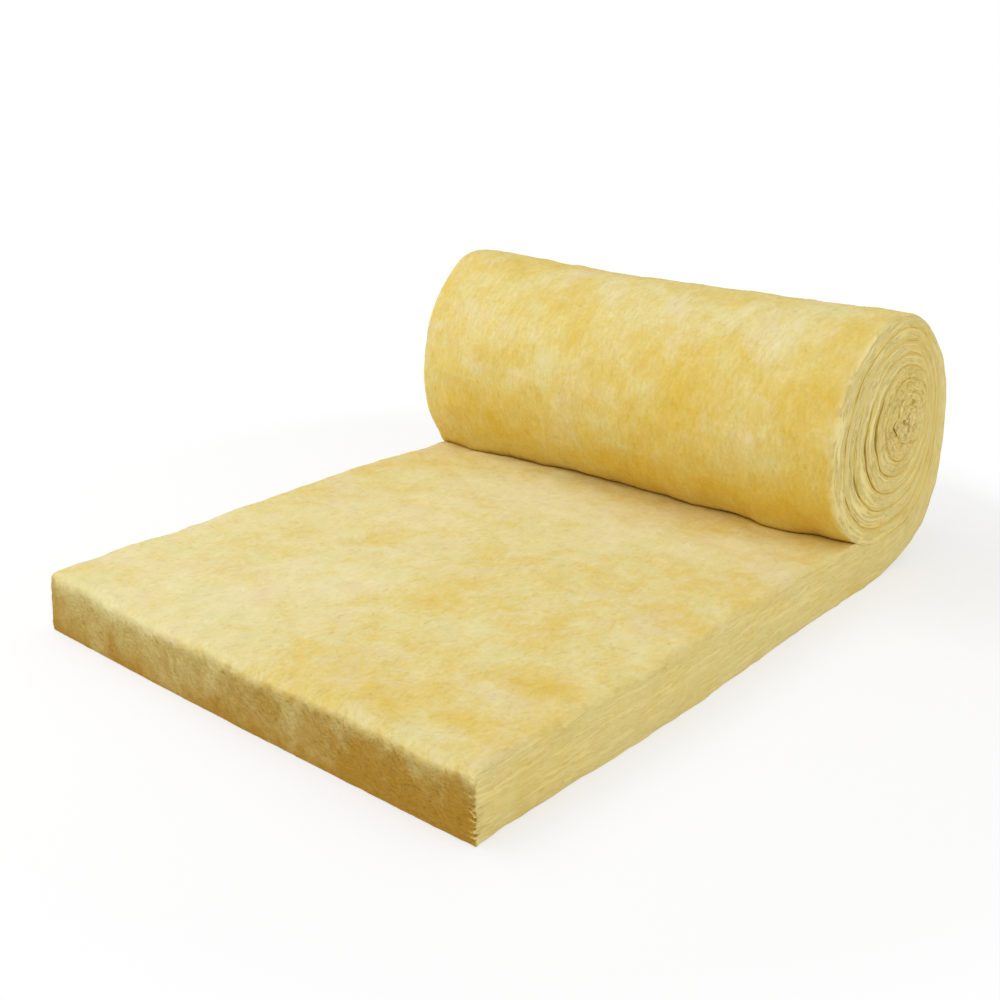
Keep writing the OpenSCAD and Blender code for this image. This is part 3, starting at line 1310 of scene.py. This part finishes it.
@dataclass(frozen=True)
class Studio:
    """A plain white floor under soft light."""

    floor_size: float = 60.0
    floor_colour: Colour = (252, 252, 252)
    sky: float = 0.64
    shadow_lift: float = 0.6
    fade_from: float = 1.0
    fade_to: float = 1.6
    lamps: tuple[Lamp, ...] = (
        Lamp("key_lamp", (-0.84, -4.2, 3.94), (0.0, 0.0, 0.3), 3.6, 58.0),
        Lamp("top_lamp", (-2.38, -1.16, 3.8), (0.0, 0.1, 0.3), 3.1, 56.0),
        Lamp("side_lamp", (3.4, 0.3, 1.6), (0.4, 0.1, 0.3), 2.0, 13.0),
    )

    def build(self) -> None:
        """Adds the floor, the lamps and the sky light."""
        bpy.ops.object.select_all(action="DESELECT")
        bpy.ops.mesh.primitive_plane_add(size=self.floor_size)
        floor = bpy.context.active_object
        floor.name = "floor"
        floor.data.materials.append(self.floor_material())
        for lamp in self.lamps:
            lamp.build()
        self.add_sky()

    @staticmethod
    def seen_share(sheet: NodeSheet) -> bpy.types.NodeSocket:
        """1 for what the camera sees itself, in a mirror or through glass, and else 0."""
        rays = sheet.add("LightPath").outputs
        either = sheet.math("MAXIMUM", rays["Is Camera Ray"], rays["Is Glossy Ray"])
        return sheet.math("MAXIMUM", either, rays["Is Transmission Ray"])

    def floor_material(self) -> bpy.types.Material:
        """A matt floor that keeps the object's shadow and turns plain white away from it."""
        material = bpy.data.materials.new("white_floor")
        material.use_nodes = True
        material.node_tree.nodes.clear()
        sheet = NodeSheet(material.node_tree)
        place = sheet.add("TexCoord").outputs["Object"]
        far = sheet.add("VectorMath", {0: place}, operation="LENGTH").outputs["Value"]
        plain = sheet.math("MAXIMUM", sheet.step(far, self.fade_from, self.fade_to), self.shadow_lift)
        share = sheet.times(plain, self.seen_share(sheet))
        matt = sheet.add("BsdfDiffuse", {"Color": linear(self.floor_colour)})
        white = sheet.add("Emission", {"Strength": 1.0})
        both = sheet.add("MixShader", {0: share, 1: matt.outputs[0], 2: white.outputs[0]})
        sheet.add("OutputMaterial", {"Surface": both.outputs[0]})
        return material

    def add_sky(self) -> None:
        """Lights the scene evenly from all round and shows plain white behind it."""
        world = bpy.data.worlds.new("studio_sky")
        world.use_nodes = True
        world.node_tree.nodes.clear()
        bpy.context.scene.world = world
        sheet = NodeSheet(world.node_tree)
        light = sheet.add("Background", {"Strength": self.sky, "Color": (1, 1, 1, 1)})
        white = sheet.add("Background", {"Strength": 1.0, "Color": (1, 1, 1, 1)})
        both = sheet.add("MixShader", {0: self.seen_share(sheet), 1: light.outputs[0], 2: white.outputs[0]})
        sheet.add("OutputWorld", {"Surface": both.outputs[0]})


def main() -> None:
    """Builds every piece in order."""
    logging.basicConfig(level=logging.INFO, format="%(name)s: %(message)s")
    noise.seed_set(NOISE_SEED)
    bpy.context.scene.view_settings.view_transform = "Standard"
    CameraView().build()
    path = Winding.from_frame(NODE)
    finish = WoolFinish(WoolColours().group())
    blanket = Blanket(path)
    piece = blanket.build()
    piece.data.materials.append(finish.blanket())
    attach(piece, BODY)
    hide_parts(NODE)
    LOG.info("%s: %d faces, %.2f m of wool", piece.name, len(piece.data.polygons), path.length)
    loose_wool = finish.loose_fibres()
    for fibres in LOOSE_FIBRES:
        tuft = fibres.build(blanket, piece.data)
        tuft.data.materials.append(loose_wool)
        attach(tuft, BODY)
        LOG.info("%s: %d fibres", tuft.name, fibres.count)
    Studio().build()


if __name__ == "__main__":
    main()
